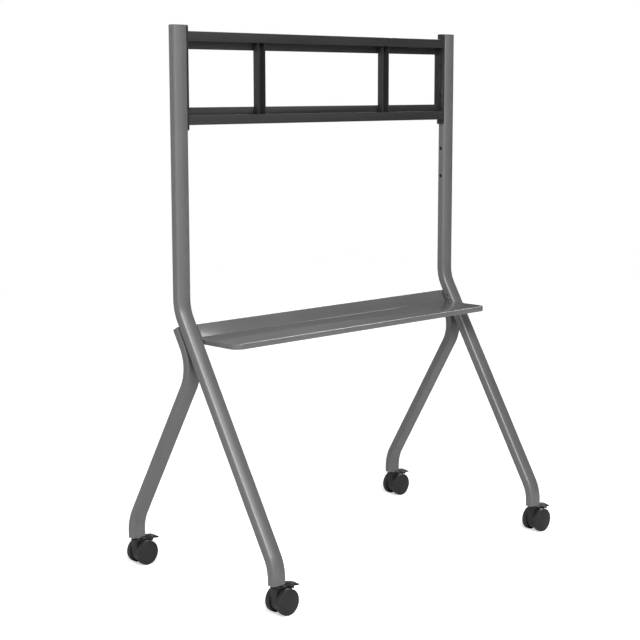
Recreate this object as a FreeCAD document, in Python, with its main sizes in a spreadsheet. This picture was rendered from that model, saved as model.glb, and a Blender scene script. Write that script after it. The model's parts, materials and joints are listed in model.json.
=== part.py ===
"""Mobile display stand on twin-wheel casters, as a parametric assembly in millimetres.

Two bent front legs rise into masts that carry a slotted mounting frame, two bent rear legs
are bolted behind them, and a folded steel shelf ties the pair together. X runs along the
shelf, -Y is the front, Z is up. Pieces are drawn about the masts' axis plane (Y = 0) and
the stand's middle plane (X = 0), then shifted so that the origin is the middle of the
footprint on the floor.
"""
import FreeCAD, Part
import math
import os
import re

import Sketcher

doc = FreeCAD.newDocument("MobileStand")
sheet = doc.addObject("Spreadsheet::Sheet", "Size")

# Threaded holes in each mast, one above another, that set the frame's height
HOLE_COUNT = 5

# Driving dimensions, one named value each
DRIVING = {
    # tube legs and masts
    "mast_height": 1600,
    "clear_width": 1082,
    "tube_width": 48,
    "tube_depth": 27.5,
    "tube_flat": 12,
    "tube_wall": 1.8,
    "crown_slope": 12,
    "crown_radius": 85,
    "crown_edge_radius": 7,
    "flat_edge_radius": 4,
    "bend_radius": 120,
    "mast_bend_height": 804,
    "front_reach": 391,
    "front_foot_rise": 48,
    "rear_bend_drop": 162,
    "rear_reach": 233,
    "rear_foot_rise": 54,
    "joint_gap": 6,
    "rear_top_drop": 43,
    # plugs in the tube ends
    "cap_thickness": 3,
    "cap_edge_radius": 1.4,
    "plug_length": 12,
    "plug_wall": 2,
    "plug_clearance": 0.1,
    # mounting frame
    "top_rail_drop": 17,
    "frame_height": 259,
    "frame_depth": 27,
    "rail_front_height": 27.5,
    "rail_rear_height": 49,
    "rail_wall": 2,
    "rail_bend_radius": 2.5,
    "plate_height": 291,
    "plate_thickness": 2.5,
    "plate_flange": 17,
    "plate_corner_radius": 5,
    "mullion_spacing": 525,
    "mullion_width": 28.5,
    "sheet_clearance": 0.2,
    "frame_bolt_depth": 13,
    # height holes in the masts
    "top_hole_drop": 101,
    "bottom_hole_drop": 461,
    # shelf
    "shelf_drop": 80,
    "shelf_reach": 206,
    "shelf_sheet": 2,
    "shelf_lip": 15.5,
    "shelf_corner_radius": 30,
    "shelf_fold_radius": 3,
    "panel_rise": 34.5,
    "panel_step": 1.5,
    "ear_slit": 4,
    "ear_margin": 0.5,
    "ear_corner_radius": 4,
    "ear_screw_spacing": 19,
    # fasteners
    "rivet_flange": 0.5,
    "rivet_flange_diameter": 12,
    "rivet_body": 9,
    "rivet_length": 13,
    "screw_diameter": 6,
    "screw_length": 12,
    "screw_head": 10.5,
    "screw_head_height": 2.8,
    "thread_clearance": 0.1,
    "hole_clearance": 0.6,
    "joint_bolt_diameter": 8,
    "joint_bolt_head": 14,
    "joint_bolt_head_height": 4,
    "joint_nut_body": 11,
    "joint_nut_length": 16,
    "joint_nut_flange": 15,
    "joint_nut_flange_thickness": 1.5,
    "joint_bolt_first": 64,
    "joint_bolt_spacing": 26,
    "joint_bolt_bite": 11,
    "small_bolt_diameter": 5,
    "small_bolt_head": 9.5,
    "small_bolt_head_height": 2.6,
    "small_bolt_tail": 3,
    # casters
    "wheel_diameter": 75,
    "wheel_width": 14.3,
    "wheel_gap": 1.8,
    "wheel_edge": 1.2,
    "wheel_disc_diameter": 57,
    "wheel_disc_rise": 0.8,
    "wheel_disc_bevel": 2.5,
    "wheel_hub_diameter": 17,
    "wheel_rim_wall": 5,
    "wheel_recess": 6,
    "wheel_face_wall": 4,
    "caster_trail": 20,
    "axle_diameter": 8,
    "press_clearance": 0.02,
    "running_clearance": 0.08,
    "housing_thickness": 27.4,
    "housing_front": 12.5,
    "housing_foot": 8,
    "housing_foot_radius": 31,
    "hood_gap": 1.5,
    "hood_thickness": 4,
    "hood_front": 13.5,
    "hood_back": 20,
    "hood_half_width": 15,
    "hood_corner_radius": 6,
    "boss_diameter": 24,
    "boss_height": 3,
    "collar_gap": 0.5,
    "collar_height": 3,
    "collar_diameter": 19,
    "stem_diameter": 10,
    "stem_length": 22,
    "pin_diameter": 9,
    "pin_length": 33,
    "lever_pivot_x": 30,
    "lever_pivot_drop": 7,
    "lever_pin_diameter": 4,
    "lever_tongue": 8,
    "lever_slot_clearance": 0.3,
    "lever_width": 24,
    "shoe_overlap": 3.5,
    "shoe_root": 3,
    "lever_reach": 78,
    "lever_tip_rise": 4.4,
    "lever_tip_thickness": 2.5,
    "lever_tip_radius": 7,
}

# Sizes worked out from the driving ones
DERIVED = {
    "half_clear": "clear_width / 2",
    "leg_x": "half_clear + tube_width / 2",
    "hood_bottom": "wheel_diameter + hood_gap",
    "boss_top": "hood_bottom + hood_thickness + boss_height",
    "collar_bottom": "boss_top + collar_gap",
    "leg_end_height": "collar_bottom + collar_height",
    "front_foot_bend_height": "leg_end_height + front_foot_rise",
    "rear_foot_bend_height": "leg_end_height + rear_foot_rise",
    "rear_bend_height": "mast_bend_height - rear_bend_drop",
    "crown_height": "tube_depth - tube_flat",
    "lean": "atan(front_reach / (mast_bend_height - front_foot_bend_height))",
    "leg_offset": "2 * tube_flat + joint_gap",
    "rear_bend_y": "leg_offset / cos(lean) - rear_bend_drop * tan(lean)",
    "tube_top": "mast_height - cap_thickness",
    "insert_length": "front_foot_bend_height - bend_radius * tan(lean / 2) - leg_end_height"
                     " - sheet_clearance",
    "plate_x": "half_clear - rivet_flange",
    "frame_top": "mast_height - top_rail_drop",
    "frame_bottom": "frame_top - frame_height",
    "frame_face": "frame_depth / 2",
    "lowest_hole": "mast_height - bottom_hole_drop",
    "hole_spacing": f"(bottom_hole_drop - top_hole_drop) / {HOLE_COUNT - 1}",
    "rail_half_length": "plate_x - plate_thickness - sheet_clearance",
    "flange_x": "plate_x - plate_flange / 2 - plate_thickness / 2",
    "shelf_height": "mast_bend_height - shelf_drop",
    "shelf_half": "half_clear - rivet_flange",
    "panel_top": "shelf_height + panel_rise",
    "panel_face": "tube_flat + panel_step",
    "ear_half": "tube_flat - ear_margin",
    "ear_screw_top": "(shelf_drop - panel_rise / 2) / cos(lean) - ear_screw_spacing / 2",
    "wheel_radius": "wheel_diameter / 2",
    "wheel_inset": "housing_thickness / 2 + wheel_gap",
    "caster_half": "wheel_inset + wheel_width",
    "housing_back": "2 * caster_trail + housing_front",
    "shoe_half": "wheel_inset + shoe_overlap",
    "lever_pivot_height": "wheel_diameter - lever_pivot_drop",
    "shift_x": "(half_clear + tube_width - leg_x - lever_reach) / 2",
    "shift_y": "(front_reach - rear_reach) / 2",
}

row = 0
for alias, value in DRIVING.items():
    row += 1
    sheet.set(f"A{row}", alias)
    sheet.set(f"B{row}", str(value))
    sheet.setAlias(f"B{row}", alias)
for alias, formula in DERIVED.items():
    row += 1
    sheet.set(f"A{row}", alias)
    sheet.set(f"B{row}", "=" + formula)
    sheet.setAlias(f"B{row}", alias)
doc.recompute()

ALIASES = set(DRIVING) | set(DERIVED)
parts = []

# How a constraint names a line's or arc's own points
START, END, CENTRE = range(1, 4)


def text(formula):
    """The formula with every alias written as a cell of the sheet."""
    def name(found):
        word = found.group(0)
        return "Size." + word if word in ALIASES else word
    return re.sub(r"[a-z][a-z_]*", name, str(formula))


def number(formula):
    """The formula's value now."""
    value = sheet.evalExpression(text(formula))
    return float(getattr(value, "Value", value))


def bind(item, prop, formula):
    item.setExpression(prop, text(formula))


def plane(body, role):
    return [f for f in body.Origin.OriginFeatures if f.Role == role][0]


# Sketches


def sketch_on(body, role, name, base=(0, 0, 0), tilt=None):
    """A sketch on one of the body's own planes, shifted by base and tilted about -X."""
    sketch = body.newObject("Sketcher::SketchObject", name)
    sketch.AttachmentSupport = [(plane(body, role), "")]
    sketch.MapMode = "FlatFace"
    if tilt is not None:
        turn = FreeCAD.Rotation(FreeCAD.Vector(-1, 0, 0), number(tilt))
        sketch.AttachmentOffset = FreeCAD.Placement(FreeCAD.Vector(), turn)
        bind(sketch, ".AttachmentOffset.Rotation.Angle", tilt)
    for axis, formula in zip("xyz", base):
        if formula != 0:
            bind(sketch, f".AttachmentOffset.Base.{axis}", formula)
    return sketch


def constrain(sketch, kind, *refs, formula=None):
    if formula is None:
        sketch.addConstraint(Sketcher.Constraint(kind, *refs))
        return
    index = sketch.addConstraint(Sketcher.Constraint(kind, *refs, number(formula)))
    bind(sketch, f"Constraints[{index}]", formula)


def pin_down(sketch, geometry, end, across, up):
    """Dimensions from the sketch's origin, whose geometry index is -1."""
    constrain(sketch, "DistanceX", -1, START, geometry, end, formula=across)
    constrain(sketch, "DistanceY", -1, START, geometry, end, formula=up)


def outline(sketch, corners, closed=True):
    """Straight lines through corners (across, up) or (across, up, radius), arcs tangent."""
    spots = [FreeCAD.Vector(number(c[0]), number(c[1]), 0) for c in corners]
    count = len(corners)
    sides = []
    turns = {}
    for i, corner in enumerate(corners):
        if len(corner) == 2:
            sides.append((spots[i], spots[i]))
            continue
        radius = number(corner[2])
        back = (spots[i - 1] - spots[i]).normalize()
        ahead = (spots[(i + 1) % count] - spots[i]).normalize()
        half = back.getAngle(ahead) / 2
        reach = radius / math.tan(half)
        centre = spots[i] + (back + ahead).normalize() * (radius / math.sin(half))
        start, end = spots[i] + back * reach, spots[i] + ahead * reach
        left = back.cross(ahead).z < 0
        first, last = (start, end) if left else (end, start)
        angles = [math.atan2((p - centre).y, (p - centre).x) for p in (first, last)]
        circle = Part.Circle(centre, FreeCAD.Vector(0, 0, 1), radius)
        arc = sketch.addGeometry(Part.ArcOfCircle(circle, angles[0], angles[1]), False)
        point = sketch.addGeometry(Part.Point(spots[i]), True)
        turns[i] = (arc, point, left)
        sides.append((start, end))
    last_line = count if closed else count - 1
    lines = []
    for i in range(last_line):
        line = Part.LineSegment(sides[i][1], sides[(i + 1) % count][0])
        lines.append(sketch.addGeometry(line, False))
    for i, corner in enumerate(corners):
        before = lines[i - 1] if closed or i > 0 else None
        after = lines[i] if closed or i < count - 1 else None
        if i in turns:
            arc, point, left = turns[i]
            enter, leave = (START, END) if left else (END, START)
            constrain(sketch, "Tangent", before, END, arc, enter)
            constrain(sketch, "Tangent", arc, leave, after, START)
            constrain(sketch, "PointOnObject", point, START, before)
            constrain(sketch, "PointOnObject", point, START, after)
            constrain(sketch, "Radius", arc, formula=corner[2])
            pin_down(sketch, point, START, corner[0], corner[1])
            continue
        if before is not None and after is not None:
            constrain(sketch, "Coincident", before, END, after, START)
        geometry, end = (after, START) if after is not None else (before, END)
        pin_down(sketch, geometry, end, corner[0], corner[1])


def circle(sketch, across, up, diameter):
    middle = FreeCAD.Vector(number(across), number(up), 0)
    shape = Part.Circle(middle, FreeCAD.Vector(0, 0, 1), number(diameter) / 2)
    index = sketch.addGeometry(shape, False)
    constrain(sketch, "Diameter", index, formula=diameter)
    pin_down(sketch, index, CENTRE, across, up)


# Features


def new_body(label, x="0", y="0", z="0", tilt=None):
    """A body placed in the stand's frame; tilt leans its own Z axis backwards."""
    body = doc.addObject("PartDesign::Body", label)
    body.Label = label
    if tilt is not None:
        turn = FreeCAD.Rotation(FreeCAD.Vector(-1, 0, 0), number(tilt))
        body.Placement = FreeCAD.Placement(FreeCAD.Vector(), turn)
    bind(body, ".Placement.Base.x", f"{x} + shift_x")
    bind(body, ".Placement.Base.y", f"{y} + shift_y")
    bind(body, ".Placement.Base.z", z)
    parts.append(body)
    return body


def feature(body, kind, name, profile=None):
    item = body.newObject("PartDesign::" + kind, name)
    if profile is not None:
        item.Profile = profile
    return item


def pad(body, sketch, length, both=False, back=False):
    item = feature(body, "Pad", "Pad", sketch)
    item.SideType = "Symmetric" if both else "One side"
    item.Reversed = back
    bind(item, "Length", length)
    doc.recompute()
    return item


def pocket(body, sketch, length=None, both=False, back=False):
    """Cuts along the sketch's normal backwards, or forwards with back, or both ways."""
    before = body.Shape.Volume
    item = feature(body, "Pocket", "Pocket", sketch)
    item.SideType = "Symmetric" if both else "One side"
    item.Reversed = back
    if length is None:
        item.Type = "ThroughAll"
    else:
        bind(item, "Length", length)
    doc.recompute()
    if not body.Shape.Volume < before:
        raise RuntimeError(body.Label + ": a pocket cuts nothing")
    return item


def revolve(body, sketch, axis="V_Axis"):
    item = feature(body, "Revolution", "Revolution", sketch)
    item.ReferenceAxis = (sketch, [axis])
    doc.recompute()
    return item


def round_edges(body, radius, chosen, name="Fillet"):
    """Fillets the body's edges that the test picks."""
    tip = body.Tip
    names = [f"Edge{i + 1}" for i, edge in enumerate(tip.Shape.Edges) if chosen(edge)]
    if not names:
        raise RuntimeError(body.Label + ": no edge to round")
    item = feature(body, "Fillet", name)
    item.Base = (tip, names)
    bind(item, "Radius", radius)
    doc.recompute()
    return item


# Places in the side view (y, z) on the leaning part of the legs


def leaning(behind, down):
    """The point so far behind the front leg's axis and so far down it from the mast's bend."""
    return (f"(({behind}) * cos(lean) - ({down}) * sin(lean))",
            f"(mast_bend_height - ({behind}) * sin(lean) - ({down}) * cos(lean))")


def level(behind, height):
    """The point at this height on the line so far behind the front leg's axis."""
    return (f"(({behind}) / cos(lean) - (mast_bend_height - ({height})) * tan(lean))",
            f"({height})")


def crowned(sketch, facing, inset):
    """The tube's section, its crown towards facing along Y, drawn in by inset.

    The crown is a large arc between two slopes. The tube's path runs tube_flat in from
    the flat side.
    """
    tip = f"(crown_height + crown_radius * (1 / cos(crown_slope) - 1) - ({inset}) / cos(crown_slope))"
    half = f"(tube_width / 2 - ({inset}))"
    shoulder = f"({tip} - {half} * tan(crown_slope))"
    flat = f"(tube_flat - ({inset}))"
    flat_edge = f"max(flat_edge_radius - ({inset}); plug_clearance)"
    crown_edge = f"crown_edge_radius - ({inset})"
    outline(sketch, [
        (f"-{half}", f"{facing} * -1 * {flat}", flat_edge),
        (half, f"{facing} * -1 * {flat}", flat_edge),
        (half, f"{facing} * {shoulder}", crown_edge),
        ("0", f"{facing} * {tip}", f"crown_radius - ({inset})"),
        (f"-{half}", f"{facing} * {shoulder}", crown_edge),
    ])


# Which way along Y the crown of each pair of legs faces
FRONT, REAR = -1, 1


# Legs


def tube(body, facing, path, foot_y):
    """A bent tube swept along path, which starts at the foot."""
    spine = sketch_on(body, "YZ_Plane", "Route")
    outline(spine, path, closed=False)
    profile = sketch_on(body, "XY_Plane", "Section", base=(0, foot_y, "leg_end_height"))
    crowned(profile, facing, "0")
    crowned(profile, facing, "tube_wall")
    doc.recompute()
    sweep = feature(body, "AdditivePipe", "Tube", profile)
    sweep.Spine = (spine, [f"Edge{i + 1}" for i in range(len(spine.Shape.Edges))])
    sweep.Mode = "Standard"
    doc.recompute()


def front_leg(label, side):
    body = new_body(label, f"{side} * leg_x")
    tube(body, FRONT, [
        ("-front_reach", "leg_end_height"),
        ("-front_reach", "front_foot_bend_height", "bend_radius"),
        ("0", "mast_bend_height", "bend_radius"),
        ("0", "tube_top"),
    ], "-front_reach")
    holes = sketch_on(body, "YZ_Plane", "HeightHoles")
    circle(holes, "0", "lowest_hole", "rivet_body")
    first = pocket(body, holes, back=side < 0)
    row_of_holes = feature(body, "LinearPattern", "HeightRow")
    row_of_holes.Originals = [first]
    row_of_holes.Direction = (holes, ["V_Axis"])
    row_of_holes.Occurrences = HOLE_COUNT
    bind(row_of_holes, "Length", f"hole_spacing * {HOLE_COUNT - 1}")
    body.Tip = row_of_holes
    doc.recompute()
    ears = sketch_on(body, "YZ_Plane", "EarHoles")
    for down in EAR_SCREWS:
        circle(ears, *leaning("0", down), "rivet_body")
    pocket(body, ears, back=side < 0)
    joint = sketch_on(body, "XY_Plane", "JointHoles", (0, 0, "mast_bend_height"), "90 deg + lean")
    for down in JOINT_BOLTS:
        circle(joint, "0", down, "joint_nut_body")
    pocket(body, joint, back=True)


def rear_leg(label, side):
    body = new_body(label, f"{side} * leg_x")
    tube(body, REAR, [
        ("rear_reach", "leg_end_height"),
        ("rear_reach", "rear_foot_bend_height", "bend_radius"),
        ("rear_bend_y", "rear_bend_height", "bend_radius"),
        leaning("leg_offset", "rear_top_drop + cap_thickness"),
    ], "rear_reach")
    joint = sketch_on(body, "XY_Plane", "JointHoles",
                      (0, *leaning("leg_offset", "0")), "90 deg + lean")
    for down in JOINT_BOLTS:
        circle(joint, "0", down, "joint_bolt_diameter + hole_clearance")
    pocket(body, joint, both=True)


HEIGHT_HOLES = [f"lowest_hole + {step} * hole_spacing" for step in range(HOLE_COUNT)]
EAR_SCREWS = ["ear_screw_top", "ear_screw_top + ear_screw_spacing"]
JOINT_BOLTS = ["joint_bolt_first", "joint_bolt_first + joint_bolt_spacing"]
SIDES = {"left": -1, "right": 1}

for hand, side in SIDES.items():
    front_leg(f"{hand}_front_leg", side)
    rear_leg(f"{hand}_rear_leg", side)


# Plugs in the tube ends


def end_cap(label, facing, x, y, z, tilt=None):
    body = new_body(label, x, y, z, tilt)
    cover = sketch_on(body, "XY_Plane", "Cover")
    crowned(cover, facing, "0")
    pad(body, cover, "cap_thickness")
    top = number("cap_thickness")
    round_edges(body, "cap_edge_radius",
                lambda edge: all(abs(v.Z - top) < number("plug_clearance")
                                 for v in edge.Vertexes))
    plug = sketch_on(body, "XY_Plane", "Plug")
    crowned(plug, facing, "tube_wall + plug_clearance")
    crowned(plug, facing, "tube_wall + plug_clearance + plug_wall")
    pad(body, plug, "plug_length", back=True)


def foot_insert(label, facing, x, y):
    body = new_body(label, x, y, "leg_end_height")
    block = sketch_on(body, "XY_Plane", "Block")
    crowned(block, facing, "tube_wall + plug_clearance")
    circle(block, "0", "0", "stem_diameter + 2 * thread_clearance")
    pad(body, block, "insert_length")


for hand, side in SIDES.items():
    x = f"{side} * leg_x"
    end_cap(f"{hand}_mast_cap", FRONT, x, "0", "tube_top")
    end_cap(f"{hand}_rear_leg_cap", REAR, x,
            *leaning("leg_offset", "rear_top_drop + cap_thickness"), "lean")
    foot_insert(f"{hand}_front_foot_insert", FRONT, x, "-front_reach")
    foot_insert(f"{hand}_rear_foot_insert", REAR, x, "rear_reach")


# Mounting frame


def side_plate(label, side):
    body = new_body(label)
    web = sketch_on(body, "YZ_Plane", "Web", (0, 0, f"{side} * plate_x"))
    bottom = "mast_height - plate_height"
    rear = "frame_face + plate_thickness"
    outline(web, [
        ("-frame_face", bottom, "plate_corner_radius"),
        (rear, bottom),
        (rear, "mast_height"),
        ("-frame_face", "mast_height", "plate_corner_radius"),
    ])
    pad(body, web, "plate_thickness", back=side > 0)
    flange = sketch_on(body, "XZ_Plane", "Flange", (0, 0, "-frame_face"))
    inner = f"{side} * (plate_x - plate_flange)"
    outline(flange, [
        (f"{side} * plate_x", "frame_bottom"),
        (f"{side} * plate_x", "frame_top"),
        (inner, "frame_top"),
        (inner, "frame_bottom"),
    ])
    pad(body, flange, "plate_thickness", back=True)
    screws = sketch_on(body, "YZ_Plane", "ScrewHoles", (0, 0, f"{side} * plate_x"))
    for height in HEIGHT_HOLES[-2:]:
        circle(screws, "0", height, "screw_diameter + hole_clearance")
    pocket(body, screws, "plate_thickness", back=side < 0)
    bolts = sketch_on(body, "XZ_Plane", "BoltHoles")
    for height in FRAME_BOLT_HEIGHTS:
        circle(bolts, f"{side} * flange_x", height, "small_bolt_diameter + hole_clearance")
    pocket(body, bolts)


def rail(label, edge, up):
    """A channel with a short front wall and a taller rear wall; up is 1 or -1."""
    body = new_body(label)
    section = sketch_on(body, "YZ_Plane", "Section")
    inside = "(frame_face - rail_wall)"
    outline(section, [
        ("-frame_face", edge, "rail_bend_radius"),
        ("frame_face", edge, "rail_bend_radius"),
        ("frame_face", f"{edge} - {up} * rail_rear_height"),
        (inside, f"{edge} - {up} * rail_rear_height"),
        (inside, f"{edge} - {up} * rail_wall"),
        (f"-{inside}", f"{edge} - {up} * rail_wall"),
        (f"-{inside}", f"{edge} - {up} * rail_front_height"),
        ("-frame_face", f"{edge} - {up} * rail_front_height"),
    ])
    pad(body, section, "2 * rail_half_length", both=True)
    bolts = sketch_on(body, "XZ_Plane", "BoltHoles")
    for across in FRAME_BOLT_PLACES:
        circle(bolts, across, f"{edge} - {up} * frame_bolt_depth",
               "small_bolt_diameter + hole_clearance")
    pocket(body, bolts)


def mullion(label, side):
    """An upright channel, open to the front, held inside both rails."""
    body = new_body(label, f"{side} * mullion_spacing / 2")
    section = sketch_on(body, "XY_Plane", "Section",
                        (0, 0, "frame_bottom + rail_wall + sheet_clearance"))
    half = "mullion_width / 2"
    back = "frame_face - rail_wall"
    front = "-frame_face + rail_wall + sheet_clearance"
    outline(section, [
        (f"-{half}", front),
        (f"-{half}", back, "rail_bend_radius"),
        (half, back, "rail_bend_radius"),
        (half, front),
        (f"{half} - rail_wall", front),
        (f"{half} - rail_wall", f"{back} - rail_wall"),
        (f"-{half} + rail_wall", f"{back} - rail_wall"),
        (f"-{half} + rail_wall", front),
    ])
    pad(body, section, "frame_height - 2 * (rail_wall + sheet_clearance)")
    bolts = sketch_on(body, "XZ_Plane", "BoltHoles")
    for height in FRAME_BOLT_HEIGHTS:
        circle(bolts, "0", height, "small_bolt_diameter + hole_clearance")
    pocket(body, bolts)


FRAME_BOLT_HEIGHTS = ["frame_top - frame_bolt_depth", "frame_bottom + frame_bolt_depth"]
FRAME_BOLT_PLACES = ["-flange_x", "-mullion_spacing / 2", "mullion_spacing / 2", "flange_x"]

for hand, side in SIDES.items():
    side_plate(f"{hand}_side_plate", side)
    mullion(f"{hand}_mullion", side)
rail("top_rail", "frame_top", 1)
rail("bottom_rail", "frame_bottom", -1)


# Shelf


def shelf(label):
    """One folded sheet: floor with turned-down lips, leaning back panel and two ears."""
    body = new_body(label)
    underside = "shelf_height - shelf_sheet"
    floor_back = level("ear_half", "shelf_height")[0]
    lip_back = level("-crown_height", "shelf_height")[0]
    block = sketch_on(body, "XY_Plane", "Plan", (0, 0, "shelf_height"))
    outline(block, [
        ("-shelf_half", "-shelf_reach", "shelf_corner_radius"),
        ("shelf_half", "-shelf_reach", "shelf_corner_radius"),
        ("shelf_half", floor_back),
        ("-shelf_half", floor_back),
    ])
    pad(body, block, "shelf_lip", back=True)
    top, rear = number("shelf_height"), number(floor_back)
    slack = number("plug_clearance")
    round_edges(body, "shelf_fold_radius",
                lambda edge: all(abs(v.Z - top) < slack for v in edge.Vertexes)
                and min(v.Y for v in edge.Vertexes) < rear - slack)
    hollow = sketch_on(body, "XY_Plane", "Hollow", (0, 0, underside))
    inner = "(shelf_half - shelf_sheet)"
    outline(hollow, [
        (f"-{inner}", "-shelf_reach + shelf_sheet", "shelf_corner_radius - shelf_sheet"),
        (inner, "-shelf_reach + shelf_sheet", "shelf_corner_radius - shelf_sheet"),
        (inner, f"{floor_back} + shelf_sheet"),
        (f"-{inner}", f"{floor_back} + shelf_sheet"),
    ])
    pocket(body, hollow, "shelf_lip")
    relief = sketch_on(body, "YZ_Plane", "LipRelief")
    outline(relief, [
        (lip_back, "shelf_height - 2 * shelf_lip"),
        (f"{floor_back} + shelf_sheet", "shelf_height - 2 * shelf_lip"),
        (f"{floor_back} + shelf_sheet", underside),
        (lip_back, underside),
    ])
    pocket(body, relief, both=True)
    panel = sketch_on(body, "YZ_Plane", "Panel")
    outline(panel, [
        (floor_back, "shelf_height"),
        (*level("panel_face", "shelf_height"), "shelf_sheet / 2"),
        level("panel_face", "panel_top"),
        level("panel_face + shelf_sheet", "panel_top"),
        (*level("panel_face + shelf_sheet", underside), "shelf_sheet * 3 / 2"),
        (floor_back, underside),
    ])
    pad(body, panel, "2 * (shelf_half - shelf_sheet - ear_slit)", both=True)
    for side in SIDES.values():
        ear = sketch_on(body, "YZ_Plane", "Ear", (0, 0, f"{side} * shelf_half"))
        outline(ear, [
            level("-ear_half", underside),
            level("ear_half", underside),
            (*level("ear_half", "panel_top"), "ear_corner_radius"),
            (*level("-ear_half", "panel_top"), "ear_corner_radius"),
        ])
        pad(body, ear, "shelf_sheet", back=side > 0)
    holes = sketch_on(body, "YZ_Plane", "EarHoles")
    for down in EAR_SCREWS:
        circle(holes, *leaning("0", down), "screw_diameter + hole_clearance")
    pocket(body, holes, both=True)


shelf("shelf")


# Fasteners, drawn once each and set in groups


def turned(name, profile):
    """A turned piece about its own Z axis, from (radius, height) corners."""
    body = doc.addObject("PartDesign::Body", name)
    sketch = sketch_on(body, "XZ_Plane", "Profile")
    outline(sketch, profile)
    revolve(body, sketch)
    return body.Shape


def screw_profile(diameter, length, head, height):
    """Button head above Z = 0 and shank below it."""
    return [
        ("0", f"-({length})"),
        (f"{diameter} / 2", f"-({length})"),
        (f"{diameter} / 2", "0"),
        (f"{head} / 2", "0"),
        (f"{head} / 2", f"{height} / 3"),
        (f"{head} / 4", height),
        ("0", height),
    ]


def rivet_profile(bore, body_diameter, flange, thickness, length):
    """Threaded bush whose flange stands above Z = 0."""
    return [
        (f"{bore} / 2 + thread_clearance", f"-({length})"),
        (f"{body_diameter} / 2 - plug_clearance", f"-({length})"),
        (f"{body_diameter} / 2 - plug_clearance", "0"),
        (f"{flange} / 2", "0"),
        (f"{flange} / 2", thickness),
        (f"{bore} / 2 + thread_clearance", thickness),
    ]


def group(label, shape, seats):
    """Copies of a shape whose Z axis is turned to each seat's direction."""
    copies = []
    for x, y, z, direction in seats:
        turn = FreeCAD.Rotation(FreeCAD.Vector(0, 0, 1), FreeCAD.Vector(*direction))
        spot = FreeCAD.Vector(number(f"{x} + shift_x"), number(f"{y} + shift_y"), number(z))
        copy = shape.copy()
        copy.Placement = FreeCAD.Placement(spot, turn)
        copies.append(copy)
    item = doc.addObject("Part::Feature", label)
    item.Label = label
    item.Shape = Part.makeCompound(copies)
    parts.append(item)


tilt = math.radians(number("lean"))
backwards = (0, math.cos(tilt), -math.sin(tilt))

rivet = turned("RivetNut", rivet_profile(
    "screw_diameter", "rivet_body", "rivet_flange_diameter", "rivet_flange", "rivet_length"))
screw = turned("ButtonScrew", screw_profile(
    "screw_diameter", "screw_length", "screw_head", "screw_head_height"))
joint_nut = turned("JointNut", rivet_profile(
    "joint_bolt_diameter", "joint_nut_body", "joint_nut_flange", "joint_nut_flange_thickness",
    "joint_nut_length"))
joint_bolt = turned("JointBolt", screw_profile(
    "joint_bolt_diameter", "tube_depth + joint_gap + joint_bolt_bite",
    "joint_bolt_head", "joint_bolt_head_height"))
small_bolt = turned("SmallBolt", screw_profile(
    "small_bolt_diameter", "plate_thickness + rail_wall + small_bolt_tail",
    "small_bolt_head", "small_bolt_head_height"))
spacer = turned("Spacer", [
    ("joint_bolt_diameter / 2 + hole_clearance / 2", "0"),
    ("joint_nut_flange / 2", "0"),
    ("joint_nut_flange / 2", "joint_gap - joint_nut_flange_thickness"),
    ("joint_bolt_diameter / 2 + hole_clearance / 2", "joint_gap - joint_nut_flange_thickness"),
])

inwards = {side: (-side, 0, 0) for side in SIDES.values()}
group("mast_rivet_nuts", rivet, [
    (f"{side} * half_clear", "0", height, inwards[side])
    for side in SIDES.values() for height in HEIGHT_HOLES])
group("shelf_rivet_nuts", rivet, [
    (f"{side} * half_clear", *leaning("0", down), inwards[side])
    for side in SIDES.values() for down in EAR_SCREWS])
group("frame_screws", screw, [
    (f"{side} * (plate_x - plate_thickness)", "0", height, inwards[side])
    for side in SIDES.values() for height in HEIGHT_HOLES[-2:]])
group("shelf_screws", screw, [
    (f"{side} * (shelf_half - shelf_sheet)", *leaning("0", down), inwards[side])
    for side in SIDES.values() for down in EAR_SCREWS])
group("leg_rivet_nuts", joint_nut, [
    (f"{side} * leg_x", *leaning("tube_flat", down), backwards)
    for side in SIDES.values() for down in JOINT_BOLTS])
group("leg_spacers", spacer, [
    (f"{side} * leg_x", *leaning("tube_flat + joint_nut_flange_thickness", down), backwards)
    for side in SIDES.values() for down in JOINT_BOLTS])
group("leg_bolts", joint_bolt, [
    (f"{side} * leg_x", *leaning("leg_offset + crown_height", down), backwards)
    for side in SIDES.values() for down in JOINT_BOLTS])
group("side_plate_bolts", small_bolt, [
    (f"{side} * flange_x", "frame_face + plate_thickness", height, (0, 1, 0))
    for side in SIDES.values() for height in FRAME_BOLT_HEIGHTS])
group("mullion_bolts", small_bolt, [
    (f"{side} * mullion_spacing / 2", "frame_face", height, (0, 1, 0))
    for side in SIDES.values() for height in FRAME_BOLT_HEIGHTS])


# Casters, each drawn about its stem's axis with the wheels trailing towards +X


def stem(label, x, y):
    body = new_body(label, x, y)
    profile = sketch_on(body, "XZ_Plane", "Profile")
    outline(profile, [
        ("0", "collar_bottom - pin_length"),
        ("pin_diameter / 2", "collar_bottom - pin_length"),
        ("pin_diameter / 2", "collar_bottom"),
        ("collar_diameter / 2", "collar_bottom"),
        ("collar_diameter / 2", "leg_end_height"),
        ("stem_diameter / 2", "leg_end_height"),
        ("stem_diameter / 2", "leg_end_height + stem_length"),
        ("0", "leg_end_height + stem_length"),
    ])
    revolve(body, profile)


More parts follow.
